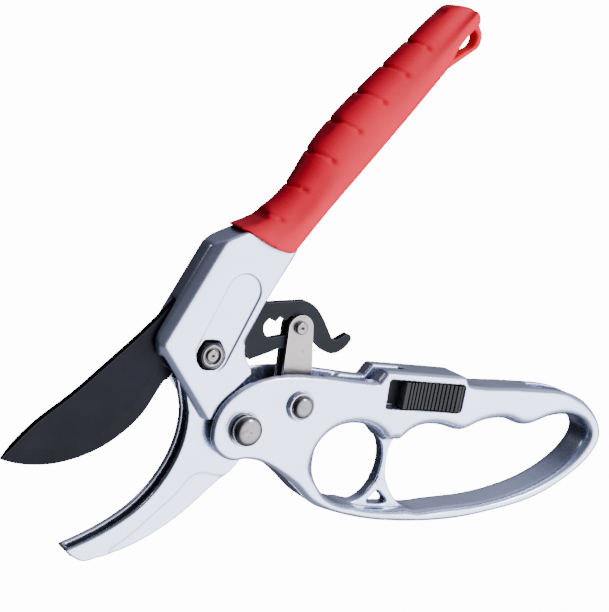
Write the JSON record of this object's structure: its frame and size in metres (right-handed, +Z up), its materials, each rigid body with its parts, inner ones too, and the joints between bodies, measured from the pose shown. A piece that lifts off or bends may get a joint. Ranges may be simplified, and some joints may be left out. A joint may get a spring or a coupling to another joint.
{
  "type": "ratchet pruning shears",
  "caption": "Hand pruning shears with a curved blade, hooked jaw, ratchet link, looped lower handle, ridged grip and a slide lock.",
  "frame": {"origin": "centre of the hang slot in the tab at the grip's end, on the tool's mid-plane", "axes": "+X from blade tip towards the handles' ends, +Y across the tool's thickness from the nut side to the bolt head side, +Z up, with the tool held blade down by its hang slot's end"},
  "size_m": [0.2172, 0.0258, 0.1715],
  "materials": {
    "casting": "fine satin",
    "red_grip": "soft moulded",
    "black_steel": "non-stick coated",
    "black_strip": "matt",
    "black_plastic": "moulded",
    "nickel_sheet": "nickel plated",
    "polished_steel": "polished",
    "plain_steel": "plain",
    "bush_brass": "turned"
  },
  "bodies": {
    "upper_handle": {"upper_handle_casting": "casting", "grip_sleeve": "red_grip", "cutting_blade": "black_steel", "blade_pin": "plain_steel", "ratchet_plate": "black_steel", "plate_pin_front": "plain_steel", "plate_pin_rear": "plain_steel", "pivot_bolt": "polished_steel", "pivot_nut": "polished_steel", "pivot_bush": "bush_brass"},
    "jaw": {"jaw_casting": "casting", "jaw_groove_strip": "black_strip", "strip_pin_front": "plain_steel", "strip_pin_rear": "plain_steel"},
    "loop_handle": {"loop_handle_casting": "casting", "front_rivet": "polished_steel", "front_washer_near": "plain_steel", "front_washer_far": "plain_steel", "link_rivet": "polished_steel", "link_washer_near": "plain_steel", "link_washer_far": "plain_steel", "link_spacer_near": "plain_steel", "link_spacer_far": "plain_steel", "opening_spring": "plain_steel", "detent_ball": "plain_steel", "detent_spring": "plain_steel"},
    "link": {"ratchet_link": "nickel_sheet", "link_pin": "polished_steel"},
    "lock": {"slide_lock": "black_plastic"}
  },
  "joints": [
    {"name": "jaw_pivot", "type": "hinge", "parent": "upper_handle", "child": "jaw", "pos_m": [-0.09131, 0, -0.08771], "axis": [0, 1, 0], "range_deg": [0, 31]},
    {"name": "handle_pivot", "type": "hinge", "parent": "jaw", "child": "loop_handle", "pos_m": [-0.08141, 0, -0.11221], "axis": [0, -1, 0], "range_deg": [0, 51.45], "stiffness_Nm_per_rad": 0.25, "springref_deg": -57.3},
    {"name": "link_pivot", "type": "hinge", "parent": "loop_handle", "child": "link", "pos_m": [-0.06171, 0, -0.10801], "axis": [0, 1, 0], "range_deg": [0, 47.77]},
    {"name": "lock_slide", "type": "slide", "parent": "loop_handle", "child": "lock", "axis": [-0.9767, 0, 0.2147], "range_m": [0, 0.0055]}
  ],
  "couplings": [
    {"joint": "jaw_pivot", "follows": "handle_pivot", "ratio": 0.60253},
    {"joint": "link_pivot", "follows": "handle_pivot", "ratio": 0.92847}
  ]
}
